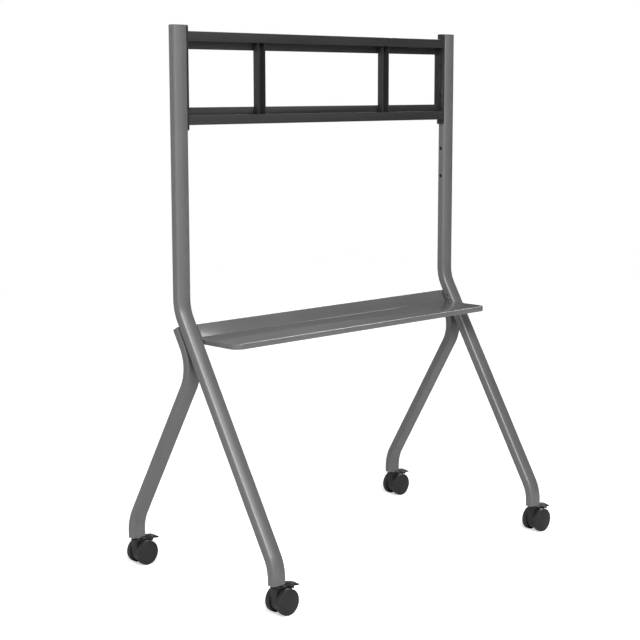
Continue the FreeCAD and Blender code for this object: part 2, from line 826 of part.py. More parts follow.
def housing(label, x, y):
    body = new_body(label, x, y)
    cheek = sketch_on(body, "XZ_Plane", "Cheek")
    top = "hood_bottom + hood_thickness / 2"
    ear_top = "lever_pivot_height + lever_tongue * 11 / 16"
    outline(cheek, [
        ("-housing_front", top),
        ("lever_pivot_x - lever_tongue", top),
        ("lever_pivot_x - lever_tongue", ear_top),
        ("lever_pivot_x + lever_tongue", ear_top, "lever_tongue * 11 / 16"),
        ("lever_pivot_x + lever_tongue", "wheel_radius * 3 / 2", "wheel_radius / 10"),
        ("housing_back", "wheel_radius * 3 / 2", "wheel_radius / 4"),
        ("housing_back", "housing_foot", "housing_foot_radius"),
        ("-housing_front", "housing_foot", "housing_foot_radius"),
    ])
    pad(body, cheek, "housing_thickness", both=True)
    hood = sketch_on(body, "XY_Plane", "Hood", (0, 0, "hood_bottom"))
    outline(hood, [
        ("-hood_front", "-hood_half_width", "hood_corner_radius"),
        ("hood_back", "-hood_half_width", "hood_corner_radius / 3"),
        ("hood_back", "hood_half_width", "hood_corner_radius / 3"),
        ("-hood_front", "hood_half_width", "hood_corner_radius"),
    ])
    pad(body, hood, "hood_thickness")
    boss = sketch_on(body, "XY_Plane", "Boss", (0, 0, "hood_bottom"))
    circle(boss, "0", "0", "boss_diameter")
    pad(body, boss, "hood_thickness + boss_height")
    bore = sketch_on(body, "XY_Plane", "Bore", (0, 0, "boss_top"))
    circle(bore, "0", "0", "pin_diameter + 2 * running_clearance")
    pocket(body, bore, "pin_length")
    slot = sketch_on(body, "XY_Plane", "LeverSlot", (0, 0, "boss_top"))
    slot_half = "(lever_tongue / 2 + lever_slot_clearance)"
    slot_front = "lever_pivot_x - lever_tongue"
    outline(slot, [
        (slot_front, f"-{slot_half}"),
        ("lever_reach", f"-{slot_half}"),
        ("lever_reach", slot_half),
        (slot_front, slot_half),
    ])
    pocket(body, slot, "boss_top - lever_pivot_height + lever_tongue * 5 / 4")
    pins = sketch_on(body, "XZ_Plane", "PinHoles")
    circle(pins, "caster_trail", "wheel_radius", "axle_diameter + 2 * press_clearance")
    circle(pins, "lever_pivot_x", "lever_pivot_height",
           "lever_pin_diameter + 2 * press_clearance")
    pocket(body, pins, both=True)


def cross_pin(label, x, y, across, height, diameter, half_length):
    body = new_body(label, x, y)
    face = sketch_on(body, "XZ_Plane", "Face")
    circle(face, across, height, diameter)
    pad(body, face, f"2 * ({half_length})", both=True)


# Corners of the lever's side view, as shares of the tongue's thickness: across and up from
# the pivot, then the rounding
PEDAL_TOP_SHARES = [(-0.7, 0.9), (-0.7, 1.25, 0.2), (2.5, 1.5, 5)]
PEDAL_UNDERSIDE_SHARES = [(4, 0.5, 1.25), (2.65, 0.8, 1), (0.75, 0.9)]
SHOE_SHARES = [(0.75, 0.9), (0.9, 1.15), (2.5, 1.25), (2.65, 0.65, 0.25), (2.25, -0.05), (1.05, 0.6)]
TONGUE_SHARES = [(-0.7, 1), (-0.7, -0.75, 0.5), (0.7, -0.75, 0.5), (1, 1)]


def from_pivot(corners_shares):
    return [(f"lever_pivot_x + lever_tongue * {across}",
             f"lever_pivot_height + lever_tongue * {up}",
             *(f"lever_tongue * {share}" for share in rounding))
            for across, up, *rounding in corners_shares]


def lever(label, x, y):
    """Foot pedal with a tongue that pivots in the housing and a brake shoe over each tread."""
    body = new_body(label, x, y)
    pedal = sketch_on(body, "XZ_Plane", "Pedal")
    tip_top = "lever_pivot_height + lever_tip_rise"
    outline(pedal, [
        *from_pivot(PEDAL_TOP_SHARES),
        ("lever_reach", tip_top),
        ("lever_reach", f"{tip_top} - lever_tip_thickness"),
        *from_pivot(PEDAL_UNDERSIDE_SHARES),
    ])
    pad(body, pedal, "lever_width", both=True)
    tip = number("lever_reach")
    slack = number("plug_clearance")
    round_edges(body, "lever_tip_radius",
                lambda edge: all(abs(v.X - tip) < slack for v in edge.Vertexes)
                and abs(edge.Vertexes[0].Y - edge.Vertexes[-1].Y) < slack)
    root = "(lever_width / 2 - shoe_root)"
    for side in SIDES.values():
        shoe = sketch_on(body, "XZ_Plane", "Shoe", (0, 0, f"{side} * {root}"))
        outline(shoe, from_pivot(SHOE_SHARES))
        pad(body, shoe, f"shoe_half - {root}", back=side < 0)
    tongue = sketch_on(body, "XZ_Plane", "Tongue")
    outline(tongue, from_pivot(TONGUE_SHARES))
    pad(body, tongue, "lever_tongue", both=True)
    bore = sketch_on(body, "XZ_Plane", "Bore")
    circle(bore, "lever_pivot_x", "lever_pivot_height",
           "lever_pin_diameter + 2 * running_clearance")
    pocket(body, bore, both=True)


def wheel(label, x, y, facing):
    """A wheel whose covered face, a raised disc, looks towards facing along Y."""
    body = new_body(label, f"{x} + caster_trail", f"{y} + {facing} * wheel_inset",
                    "wheel_radius")
    half = sketch_on(body, "XY_Plane", "Profile")
    face = "wheel_width - wheel_disc_rise"
    bore = "axle_diameter / 2 + running_clearance"
    hub = "wheel_hub_diameter / 2"
    rim = "wheel_radius - wheel_rim_wall"
    corners = [
        ("0", "wheel_width"),
        ("wheel_disc_diameter / 2", "wheel_width"),
        ("wheel_disc_diameter / 2 + wheel_disc_bevel", face),
        ("wheel_radius - wheel_edge", face),
        ("wheel_radius", f"{face} - wheel_edge"),
        ("wheel_radius", "wheel_edge"),
        ("wheel_radius - wheel_edge", "0"),
        (rim, "0"),
        (rim, "wheel_recess"),
        (hub, "wheel_recess"),
        (hub, "0"),
        (bore, "0"),
        (bore, "wheel_width - wheel_face_wall"),
        ("0", "wheel_width - wheel_face_wall"),
    ]
    outline(half, [(across, f"{facing} * ({up})") for across, up in corners])
    revolve(body, half)


for hand, side in SIDES.items():
    for place, foot_y in (("front", "-front_reach"), ("rear", "rear_reach")):
        x = f"{side} * leg_x"
        name = f"{hand}_{place}_caster"
        stem(f"{name}_stem", x, foot_y)
        housing(f"{name}_housing", x, foot_y)
        cross_pin(f"{name}_axle", x, foot_y, "caster_trail", "wheel_radius", "axle_diameter",
                  "caster_half - wheel_face_wall - press_clearance")
        cross_pin(f"{name}_lever_pin", x, foot_y, "lever_pivot_x", "lever_pivot_height",
                  "lever_pin_diameter", "housing_thickness / 2")
        lever(f"{name}_lever", x, foot_y)
        wheel(f"{name}_wheel_front", x, foot_y, FRONT)
        wheel(f"{name}_wheel_rear", x, foot_y, REAR)


# Check every object, then write each piece to its own file
doc.recompute()
for item in doc.Objects:
    if "Invalid" in item.State or "Error" in item.State:
        raise RuntimeError("failed: " + item.Name + " " + str(item.State))
for item in parts:
    if item.Shape.isNull() or not item.Shape.isValid():
        raise RuntimeError("bad shape: " + item.Label)
os.makedirs("parts", exist_ok=True)
for item in parts:
    item.Shape.exportStep(os.path.join("parts", item.Label + ".step"))
print(len(parts), "pieces written")
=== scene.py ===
"""Looks of the mobile display stand: coated tube legs, black mounting frame, folded shelf."""
import json
import math

import bmesh
import bpy
import numpy as np
from mathutils import Matrix, Vector


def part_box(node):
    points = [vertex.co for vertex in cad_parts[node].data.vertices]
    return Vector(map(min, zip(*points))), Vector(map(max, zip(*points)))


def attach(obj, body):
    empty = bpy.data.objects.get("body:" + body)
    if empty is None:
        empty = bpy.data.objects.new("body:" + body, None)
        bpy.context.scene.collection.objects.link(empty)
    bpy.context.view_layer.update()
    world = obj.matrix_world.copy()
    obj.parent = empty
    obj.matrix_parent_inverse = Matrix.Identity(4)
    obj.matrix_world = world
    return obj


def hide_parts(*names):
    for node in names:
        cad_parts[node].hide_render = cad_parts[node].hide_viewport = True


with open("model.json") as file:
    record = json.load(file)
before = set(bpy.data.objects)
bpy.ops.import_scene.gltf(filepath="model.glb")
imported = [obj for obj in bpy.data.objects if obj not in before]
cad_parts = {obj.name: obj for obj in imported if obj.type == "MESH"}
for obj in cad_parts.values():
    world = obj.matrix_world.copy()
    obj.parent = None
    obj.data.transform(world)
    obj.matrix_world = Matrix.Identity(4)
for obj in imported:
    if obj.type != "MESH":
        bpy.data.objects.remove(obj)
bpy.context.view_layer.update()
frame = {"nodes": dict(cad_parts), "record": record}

nodes = frame["nodes"]
BODY_OF = {node: body for body, held in frame["record"]["behaviour"]["bodies"].items()
           for node in held}
RECORD_SLOT = {row["node"]: row["material_slot"] for row in frame["record"]["subparts"]}
MOUNT_PLACE = {row["name"]: row["pos_m"] for row in frame["record"]["mounts"]}

# Camera, as fitted to the photograph: place in metres, angles in degrees, lens in millimetres
CAMERA_PLACE = (-3.2462, -3.2120, 1.4211)
CAMERA_YAW = 44.21
CAMERA_PITCH = 8.74
CAMERA_ROLL = -0.10
CAMERA_LENS = 84.21
SENSOR = 36.0


def make_camera():
    """A camera that looks along yaw (from +Y towards +X) and pitches down."""
    yaw, pitch, roll = (math.radians(a) for a in (CAMERA_YAW, CAMERA_PITCH, CAMERA_ROLL))
    ahead = Vector((math.sin(yaw) * math.cos(pitch), math.cos(yaw) * math.cos(pitch),
                    -math.sin(pitch)))
    level = Vector((math.cos(yaw), -math.sin(yaw), 0))
    above = level.cross(ahead)
    right = level * math.cos(roll) + above * math.sin(roll)
    up = above * math.cos(roll) - level * math.sin(roll)
    data = bpy.data.cameras.new("camera")
    data.lens = CAMERA_LENS
    data.sensor_width = SENSOR
    camera = bpy.data.objects.new("camera", data)
    turn = Matrix((right, up, -ahead)).transposed().to_4x4()
    camera.matrix_world = Matrix.Translation(CAMERA_PLACE) @ turn
    bpy.context.scene.collection.objects.link(camera)
    bpy.context.scene.camera = camera


# Materials. Sizes of noise features and depths of bumps are in metres

# The part of a noise's range over which a colour or a roughness changes
NOISE_LOW, NOISE_HIGH = 0.3, 0.7
# Clouds: size, detail, the two tones of the colour, how far the roughness falls and rises
COAT_CLOUDS = (0.18, 3, (0.95, 1.05), (0.03, 0.03))
PLASTIC_CLOUDS = (0.03, 3, (0.9, 1.1), (0.05, 0.05))
PLATE_CLOUDS = (0.006, 4, (0.85, 1), (0.06, 0.08))
# Grains: size, detail, depth, strength
COAT_PEEL = (0.0022, 1.5, 0.00006, 0.35)
COAT_GRAIN = (0.00044, 2, 0.00001, 0.3)
PLASTIC_GRAIN = (0.0009, 3, 0.00004, 0.5)
RUBBER_GRAIN = (0.0006, 3, 0.00004, 0.5)
PLATE_GRAIN = (0.0006, 3, 0.00002, 0.4)


def shade(colour, factor):
    """The colour, lighter or darker by a factor."""
    return tuple(c * factor for c in colour)


class Nodes:
    """A material's node tree, with a short way to add and link nodes."""

    def __init__(self, name):
        self.material = bpy.data.materials.new(name)
        self.material.use_nodes = True
        self.tree = self.material.node_tree
        self.tree.nodes.clear()
        self.shader = self.add("ShaderNodeBsdfPrincipled")
        self.output = self.add("ShaderNodeOutputMaterial")
        self.link(self.shader, "BSDF", self.output, "Surface")

    def add(self, kind, **values):
        node = self.tree.nodes.new(kind)
        for key, value in values.items():
            setattr(node, key, value)
        return node

    def link(self, source, out, target, socket):
        self.tree.links.new(source.outputs[out], target.inputs[socket])

    def noise(self, size, detail):
        """Noise in object space whose features are about size metres across."""
        if not hasattr(self, "place"):
            self.place = self.add("ShaderNodeTexCoord")
        node = self.add("ShaderNodeTexNoise")
        node.inputs["Scale"].default_value = 1 / size
        node.inputs["Detail"].default_value = detail
        self.link(self.place, "Object", node, "Vector")
        return node

    def clouds(self, colour, roughness, size, detail, tones, sway):
        """Noise that takes the shader's colour and roughness from one value to another."""
        cloud = self.noise(size, detail)
        ramp = self.add("ShaderNodeValToRGB")
        for element, position, tone in zip(ramp.color_ramp.elements, (NOISE_LOW, NOISE_HIGH),
                                           tones):
            element.position = position
            element.color = (*shade(colour, tone), 1)
        self.link(cloud, "Fac", ramp, "Fac")
        self.link(ramp, "Color", self.shader, "Base Color")
        level = self.add("ShaderNodeMapRange")
        level.inputs["From Min"].default_value = NOISE_LOW
        level.inputs["From Max"].default_value = NOISE_HIGH
        level.inputs["To Min"].default_value = roughness - sway[0]
        level.inputs["To Max"].default_value = roughness + sway[1]
        self.link(cloud, "Fac", level, "Value")
        self.link(level, "Result", self.shader, "Roughness")

    def grain(self, size, detail, depth, strength, below=None):
        """Noise that bumps the shader's normal, on top of another grain below it."""
        node = self.add("ShaderNodeBump")
        node.inputs["Strength"].default_value = strength
        node.inputs["Distance"].default_value = depth
        self.link(self.noise(size, detail), "Fac", node, "Height")
        if below is not None:
            self.link(below, "Normal", node, "Normal")
        self.link(node, "Normal", self.shader, "Normal")
        return node

    def set(self, **values):
        for key, value in values.items():
            self.shader.inputs[key.replace("_", " ")].default_value = value


def coated_metal(name, colour, roughness, specular=0.5):
    """Powder coat: soft cloudiness of tone, orange peel and a fine grain, on a satin base."""
    made = Nodes(name)
    made.clouds(colour, roughness, *COAT_CLOUDS)
    peel = made.grain(*COAT_PEEL)
    made.grain(*COAT_GRAIN, below=peel)
    made.set(Specular_IOR_Level=specular)
    return made.material


def moulded_plastic(name, colour, roughness, grain=PLASTIC_GRAIN, specular=0.35):
    """Moulded plastic or rubber: faint clouds of tone and a fine grain."""
    made = Nodes(name)
    made.clouds(colour, roughness, *PLASTIC_CLOUDS)
    made.grain(*grain)
    made.set(Specular_IOR_Level=specular)
    return made.material


def plated_steel(name, colour, roughness):
    """Bare or plated steel with small clouds in its tone."""
    made = Nodes(name)
    made.clouds(colour, roughness, *PLATE_CLOUDS)
    made.grain(*PLATE_GRAIN)
    made.set(Metallic=1.0)
    return made.material


GREY = (0.106, 0.106, 0.108)
BLACK = (0.020, 0.020, 0.021)
MATERIALS = {
    "grey_paint": coated_metal("grey_powder_coat", GREY, 0.31),
    "shelf_paint": coated_metal("shelf_powder_coat", shade(GREY, 1.1), 0.11, specular=0.42),
    "grey_cap": moulded_plastic("grey_cap_plastic", shade(GREY, 0.95), 0.5),
    "black_insert": moulded_plastic("insert_plastic", BLACK, 0.5),
    "black_paint": coated_metal("black_powder_coat", shade(BLACK, 1.15), 0.42, specular=0.22),
    "zinc_steel": plated_steel("zinc_plate", (0.55, 0.55, 0.56), 0.32),
    "black_screw": plated_steel("black_oxide", (0.05, 0.05, 0.052), 0.38),
    "caster_housing": moulded_plastic("housing_nylon", (0.01, 0.01, 0.0105), 0.48, specular=0.3),
    "caster_lever": moulded_plastic("lever_nylon", (0.0085, 0.0085, 0.0088), 0.55,
                                    specular=0.13),
    "caster_wheel": moulded_plastic("wheel_plastic", (0.0145, 0.0145, 0.015), 0.5,
                                    specular=0.25),
    "wheel_tread": moulded_plastic("tread_rubber", (0.013, 0.013, 0.0133), 0.6, RUBBER_GRAIN),
}


# Carried-over CAD nodes. Edge radii are in metres, by how a node's name ends

SMOOTH_BELOW = math.radians(28)
FLAT_BELOW = math.radians(0.2)
MERGE_BELOW = 1e-6
EDGE_RADII = {"side_plate": 0.0006, "mullion": 0.0005, "rail": 0.0006, "shelf": 0.0006,
              "housing": 0.0009, "lever_pin": 0.0003, "axle": 0.0003, "stem": 0.0004,
              "spacers": 0.0003, "insert": 0.0005}


def smooth(mesh):
    for face in mesh.polygons:
        face.use_smooth = True
    mesh.set_sharp_from_angle(angle=SMOOTH_BELOW)


def soften(piece, radius, steps=3):
    """Rounds the piece's sharp edges; its faces are joined first, as CAD faces come apart."""
    weld = piece.modifiers.new("weld", "WELD")
    weld.merge_threshold = MERGE_BELOW
    flat = piece.modifiers.new("flat", "DECIMATE")
    flat.decimate_type = "DISSOLVE"
    flat.angle_limit = FLAT_BELOW
    bevel = piece.modifiers.new("edges", "BEVEL")
    bevel.width = radius
    bevel.segments = steps
    bevel.limit_method = "ANGLE"
    bevel.angle_limit = SMOOTH_BELOW
    bevel.use_clamp_overlap = False
    bevel.harden_normals = True


def dress_cad_nodes():
    """Gives every CAD node its material and smooth curves, and rounds the edges of those whose
    names end as in EDGE_RADII.
    """
    for name, slot in RECORD_SLOT.items():
        node = nodes[name]
        node.data.materials.clear()
        node.data.materials.append(MATERIALS[slot])
        smooth(node.data)
        radius = next((r for part, r in EDGE_RADII.items() if name.endswith(part)), None)
        if radius is not None:
            soften(node, radius)


# Pieces of scene.py's own, and how their meshes are drawn


def new_piece(name, made, finish, node, replaces=True):
    """Turns a bmesh into a piece that rides as the node does and, as a rule, replaces it."""
    bmesh.ops.recalc_face_normals(made, faces=made.faces)
    mesh = bpy.data.meshes.new(name)
    made.to_mesh(mesh)
    made.free()
    mesh.materials.append(MATERIALS[finish])
    smooth(mesh)
    piece = bpy.data.objects.new(name, mesh)
    bpy.context.scene.collection.objects.link(piece)
    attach(piece, BODY_OF[node])
    if replaces:
        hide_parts(node)
    return piece


def turned(made, rings, place, steps, closed=False):
    """Adds rings of (radius, height, sides), turned about Z, to a bmesh; sides 0 is round."""
    rows = []
    for radius, height, sides in rings:
        if radius == 0:
            rows.append([made.verts.new(place @ Vector((0, 0, height)))])
            continue
        row = []
        for step in range(steps):
            angle = 2 * math.pi * step / steps
            reach = radius
            if sides:
                half = math.pi / sides
                reach *= math.cos(half) / math.cos(angle % (2 * half) - half)
            spot = Vector((reach * math.cos(angle), reach * math.sin(angle), height))
            row.append(made.verts.new(place @ spot))
        rows.append(row)
    pairs = list(zip(rows, rows[1:]))
    if closed:
        pairs.append((rows[-1], rows[0]))
    for lower, upper in pairs:
        for step in range(steps):
            ahead = (step + 1) % steps
            corners = [row[i % len(row)] for row, i in
                       ((lower, step), (lower, ahead), (upper, ahead), (upper, step))]
            made.faces.new(dict.fromkeys(corners))


def strip(made, first, second, closed=False):
    """Adds the faces between two rows of the same number of corners to a bmesh."""
    for corner in range(len(first) - (not closed)):
        ahead = (corner + 1) % len(first)
        made.faces.new((first[corner], first[ahead], second[ahead], second[corner]))


# Wheels, in metres from the inner face and the axle

TREAD_WALL = 0.0042
TREAD_EDGE = 0.0014
TREAD_EDGE_STEPS = 4
TREAD_SEAM = 0.0003
CORE_EDGE = 0.0003
DISC_RADIUS = 0.0285
DISC_RISE = 0.0008
DISC_BEVEL = 0.0024
WHEEL_RECESS = 0.006
HUB_RADIUS = 0.0085
BORE_RADIUS = 0.00408
FACE_WALL = 0.004
WHEEL_STEPS = 96


def wheel(node, facing):
    """A tread band on a core whose raised disc looks towards facing along Y."""
    low, high = (Vector(corner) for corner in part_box(node))
    radius, width = (high.z - low.z) / 2, high.y - low.y
    inner = low.y if facing > 0 else high.y
    place = (Matrix.Translation(((low.x + high.x) / 2, inner, (low.z + high.z) / 2))
             @ Matrix.Rotation(-facing * math.pi / 2, 4, "X"))
    face, rim = width - DISC_RISE, radius - TREAD_WALL
    tread = bmesh.new()
    turned(tread, [(rim, 0, 0), (radius, 0, 0), (radius, face, 0), (rim, face, 0)],
           place, WHEEL_STEPS, closed=True)
    soften(new_piece(node + "_tread", tread, "wheel_tread", node), TREAD_EDGE,
           TREAD_EDGE_STEPS)
    core = bmesh.new()
    turned(core, [
        (0, width, 0), (DISC_RADIUS, width, 0), (DISC_RADIUS + DISC_BEVEL, face, 0),
        (rim - TREAD_SEAM, face, 0), (rim - TREAD_SEAM, face - DISC_RISE, 0),
        (rim, face - DISC_RISE, 0), (rim, TREAD_EDGE, 0), (rim - TREAD_WALL / 3, 0, 0),
        (rim - TREAD_WALL * 2 / 3, 0, 0), (rim - TREAD_WALL * 2 / 3, WHEEL_RECESS, 0),
        (HUB_RADIUS, WHEEL_RECESS, 0), (HUB_RADIUS, 0, 0), (BORE_RADIUS, 0, 0),
        (BORE_RADIUS, width - FACE_WALL, 0), (0, width - FACE_WALL, 0),
    ], place, WHEEL_STEPS)
    soften(new_piece(node + "_core", core, "caster_wheel", node), CORE_EDGE)


# Brake pedals, in metres. Points are (across from the caster's stem, up from the ground)

PEDAL_TOP = ((0.0244, 0.0773), (0.030, 0.0786), (0.036, 0.0810), (0.042, 0.0834),
             (0.048, 0.0848), (0.054, 0.0846), (0.061, 0.0820), (0.068, 0.0781),
             (0.074, 0.0748), (0.078, 0.0729))
PEDAL_UNDER = ((0.0244, 0.0752), (0.040, 0.0752), (0.0512, 0.0744), (0.062, 0.0722),
               (0.078, 0.0702))
# Half the pedal's width at each distance from the stem
PEDAL_HALF = ((0.0244, 0.012), (0.0305, 0.012), (0.0315, 0.025), (0.043, 0.025),
              (0.051, 0.0135), (0.071, 0.012), (0.075, 0.0105), (0.0772, 0.008),
              (0.078, 0.006))
# How far the sides lie below the middle, as a share of the thickness
PEDAL_CROWN = 0.42
PEDAL_EDGE = 0.0006
PEDAL_STATIONS = 48
STATION_DIGITS = 5
# The rib between the wheels and the shoes over them
RIB_ENDS = (0.0415, 0.0505)
RIB_FOOT = 0.0630
SHOE_ENDS = (0.0315, 0.0415)
SHOE_INNER = 0.0146
SHOE_INNER_SHARE = 0.6
SHOE_GAP = 0.0009
SIDE_SHARES = np.linspace(0, 1, 9)
# The run over which an upright wall of the underside is drawn
WALL = 0.0003
LEVER_PIVOT = (0.030, 0.068)
LEVER_TRAVEL = math.radians(12)
LEVER_REACH = 0.078
PIN_HOLE_RADIUS = 0.0021
# The tongue: half its thickness, and its outline about the pivot
TONGUE_HALF = 0.0039
TONGUE = ((-0.0055, 0.0085), (-0.0055, -0.002), (-0.004, -0.0055), (0, -0.006),
          (0.004, -0.0055), (0.0065, 0.0005), (0.0078, 0.0085), (0.0012, 0.0085))
TONGUE_STEPS = 32
PARALLEL_BELOW = 1e-12
SHARE_SLACK = 1e-9
WHEEL_TRAIL = 0.020
WHEEL_RADIUS = 0.0375


def at(x, points):
    """The second value of a line of points, at x along it."""
    return np.interp(x, *zip(*points))


def pedal_underside(x, y, inner):
    """Height of the pedal's underside: a rib between the wheels and a shoe over each tread."""
    plain = at(x, PEDAL_UNDER)
    if RIB_ENDS[0] <= x <= RIB_ENDS[1] and abs(y) < inner - WALL:
        return RIB_FOOT
    if abs(y) < SHOE_INNER or not SHOE_ENDS[0] <= x <= SHOE_ENDS[1]:
        return plain
    tread = WHEEL_RADIUS + math.sqrt(WHEEL_RADIUS ** 2 - (x - WHEEL_TRAIL) ** 2)
    drop = (x - LEVER_PIVOT[0]) * math.sin(LEVER_TRAVEL)
    return min(plain, tread + drop + SHOE_GAP)


def add_foot_plate(made, origin):
    """Adds the pedal's arched plate, with its rib and shoes, to a bmesh."""
    ends = [x for start, end in (SHOE_ENDS, RIB_ENDS)
            for x in (start - WALL, start, end, end + WALL)]
    stations = np.unique(np.round(np.concatenate([
        np.linspace(PEDAL_TOP[0][0], LEVER_REACH, PEDAL_STATIONS),
        [x for x, half in PEDAL_HALF], ends]), STATION_DIGITS))
    upper, lower = [], []
    for x in stations:
        half = at(x, PEDAL_HALF)
        inner = min(SHOE_INNER, half * SHOE_INNER_SHARE)
        across = [*(inner * SIDE_SHARES[:-1]), inner - WALL / 2,
                  *(inner + (half - inner) * SIDE_SHARES)]
        across = [-y for y in across[:0:-1]] + across
        top = at(x, PEDAL_TOP)
        crown = PEDAL_CROWN * (top - at(x, PEDAL_UNDER))
        upper.append([made.verts.new(origin + Vector((x, y, top - crown * (y / half) ** 2)))
                      for y in across])
        lower.append([made.verts.new(origin + Vector((x, y, pedal_underside(x, y, inner))))
                      for y in across])
    for rows in (upper, lower):
        for first, second in zip(rows, rows[1:]):
            strip(made, first, second)
    for first, second, third, fourth in zip(upper, upper[1:], lower, lower[1:]):
        for end in (0, -1):
            made.faces.new((first[end], second[end], fourth[end], third[end]))
    for end in (0, -1):
        strip(made, upper[end], lower[end])


def outline_reach(corners, way):
    """How far a ray from the origin runs along way before it leaves a closed outline."""
    for first, second in zip(corners, corners[1:] + corners[:1]):
        first, second = np.array(first), np.array(second)
        sides = np.array((way, first - second)).T
        if abs(np.linalg.det(sides)) < PARALLEL_BELOW:
            continue
        reach, share = np.linalg.solve(sides, first)
        if reach > 0 and -SHARE_SLACK <= share <= 1 + SHARE_SLACK:
            return reach
    raise ValueError("The outline doesn't close round the origin")


def add_tongue(made, origin):
    """Adds the tongue to a bmesh: a ring about its pin, from the pin's hole to the outline."""
    angles = [2 * math.pi * step / TONGUE_STEPS for step in range(TONGUE_STEPS)]
    ways = [np.array((math.cos(angle), math.sin(angle))) for angle in angles]
    outlines = ([way * PIN_HOLE_RADIUS for way in ways],
                [way * outline_reach(TONGUE, way) for way in ways])
    (hole_near, outer_near), (hole_far, outer_far) = [
        [[made.verts.new(origin + Vector((LEVER_PIVOT[0] + a, y, LEVER_PIVOT[1] + b)))
          for a, b in spots] for spots in outlines]
        for y in (-TONGUE_HALF, TONGUE_HALF)]
    for first, second in ((hole_near, outer_near), (hole_far, outer_far), (hole_near, hole_far),
                          (outer_near, outer_far)):
        strip(made, first, second, closed=True)


def pedal(node):
    """An arched foot pedal with a brake shoe over each tread, and the tongue that it turns on."""
    low, high = (Vector(corner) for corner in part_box(node))
    origin = Vector((high.x - LEVER_REACH, (low.y + high.y) / 2, 0))
    made = bmesh.new()
    add_foot_plate(made, origin)
    add_tongue(made, origin)
    soften(new_piece(node + "_moulded", made, "caster_lever", node), PEDAL_EDGE)


# Ends of the shelf's side lips, in metres: each runs back beside its leg, under the ear

END_LIP_SHEET = 0.002
END_LIP_RISE = 0.0155
END_LIP_OVERLAP = 0.001
END_LIP_EDGE = 0.0004
# Where a plate starts and ends, back from the shelf's front
END_LIP_SPAN = (0.1403, 0.1705)
END_LIP_CORNER = 0.006
CORNER_STEPS = 6


def end_lip(name, inwards):
    """The plate at one end of the shelf, from the side lip to below the ear's back edge."""
    low, high = (Vector(corner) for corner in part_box("shelf"))
    face = low.x if inwards > 0 else high.x
    floor_top = MOUNT_PLACE["shelf_top"][2]
    front, back = (low.y + reach for reach in END_LIP_SPAN)
    foot, head = floor_top - END_LIP_RISE, floor_top - END_LIP_OVERLAP
    spots = [(back, head), (front, head), (front, foot)]
    for step in range(CORNER_STEPS + 1):
        angle = math.pi / 2 * step / CORNER_STEPS
        spots.append((back - END_LIP_CORNER * (1 - math.sin(angle)),
                      foot + END_LIP_CORNER * (1 - math.cos(angle))))
    made = bmesh.new()
    sides = [[made.verts.new((x, y, z)) for y, z in spots]
             for x in (face, face + inwards * END_LIP_SHEET)]
    for side in sides:
        made.faces.new(side)
    strip(made, *sides, closed=True)
    soften(new_piece(name, made, "shelf_paint", "shelf", replaces=False), END_LIP_EDGE)


# Fasteners, in metres. Each copy's seat and size are read from the CAD node that it replaces

FASTENER_STEPS = 36
THREAD_PITCH = 0.001
THREAD_DEPTH = 0.0003
CHAMFER = 0.0004
TIP_CHAMFER = 0.0008
# A bolt's dome: the angles of its rings in degrees, and how much flatter it is than round
DOME_ANGLES = (36, 48, 60, 72, 84)
DOME_FLATNESS = 1.55
# Shares of the head's height
DOME_FOOT = 0.68
SOCKET_DEPTH = 0.6
# Shares of the socket's depth, at its point and its sides' foot, and of its width at the floor
SOCKET_POINT = 1.15
SOCKET_SIDES = 0.9
SOCKET_FLOOR = 0.96
HEXAGON = 6
# Shank diameter, head height, socket across flats, unthreaded length
BOLTS = {"frame_screws": (0.006, 0.0028, 0.004, 0.001),
         "shelf_screws": (0.006, 0.0028, 0.004, 0.001),
         "leg_bolts": (0.008, 0.004, 0.005, 0.036),
         "side_plate_bolts": (0.005, 0.0026, 0.003, 0.001),
         "mullion_bolts": (0.005, 0.0026, 0.003, 0.001)}
# Bore diameter, body diameter, flange thickness
RIVET_NUTS = {"mast_rivet_nuts": (0.0062, 0.0088, 0.0005),
              "shelf_rivet_nuts": (0.0062, 0.0088, 0.0005),
              "leg_rivet_nuts": (0.0082, 0.0108, 0.0015)}
# The shelf's screws don't stand out from its ears, and the masts' nuts show as dark holes
# The masts' nuts' black is partly painted shade: the darkness of their bores spread over their
# flanges
OWN_SLOT = {"shelf_screws": "grey_paint", "mast_rivet_nuts": "black_screw"}


def bodies_of(node):
    """The corners of each separate body in a CAD node."""
    made = bmesh.new()
    made.from_mesh(nodes[node].data)
    bmesh.ops.remove_doubles(made, verts=made.verts, dist=MERGE_BELOW)
    left = set(made.verts)
    found = []
    while left:
        open_ends = [left.pop()]
        corners = []
        while open_ends:
            vert = open_ends.pop()
            corners.append(tuple(vert.co))
            ahead = {edge.other_vert(vert) for edge in vert.link_edges} & left
            left -= ahead
            open_ends.extend(ahead)
        found.append(np.array(corners))
    made.free()
    return found


def seat_of(corners):
    """A turned body's widest end as a matrix whose Z points out, then its length and radius."""
    middle = corners.mean(axis=0)
    away = corners - middle
    spread, ways = np.linalg.eigh(np.cov(away.T))
    alone = 0 if spread[1] - spread[0] > spread[2] - spread[1] else 2
    axis = ways[:, alone]
    along = away @ axis
    radial = np.linalg.norm(away - np.outer(along, axis), axis=1)
    if along[radial.argmax()] < (along.min() + along.max()) / 2:
        axis, along = -axis, -along
    end = Vector(middle + axis * along.max())
    turn = Vector(axis).to_track_quat("Z", "Y").to_matrix().to_4x4()
    return Matrix.Translation(end) @ turn, np.ptp(along), radial.max()


def thread(radius, start, end, depth):
    """Rings of a thread between two heights, cut by depth towards or away from the axis."""
    count = max(1, round(abs(end - start) / THREAD_PITCH))
    pitch = (end - start) / count
    return [(radius - depth * (step % 2), start + pitch * step / 2, 0)
            for step in range(2 * count + 1)]


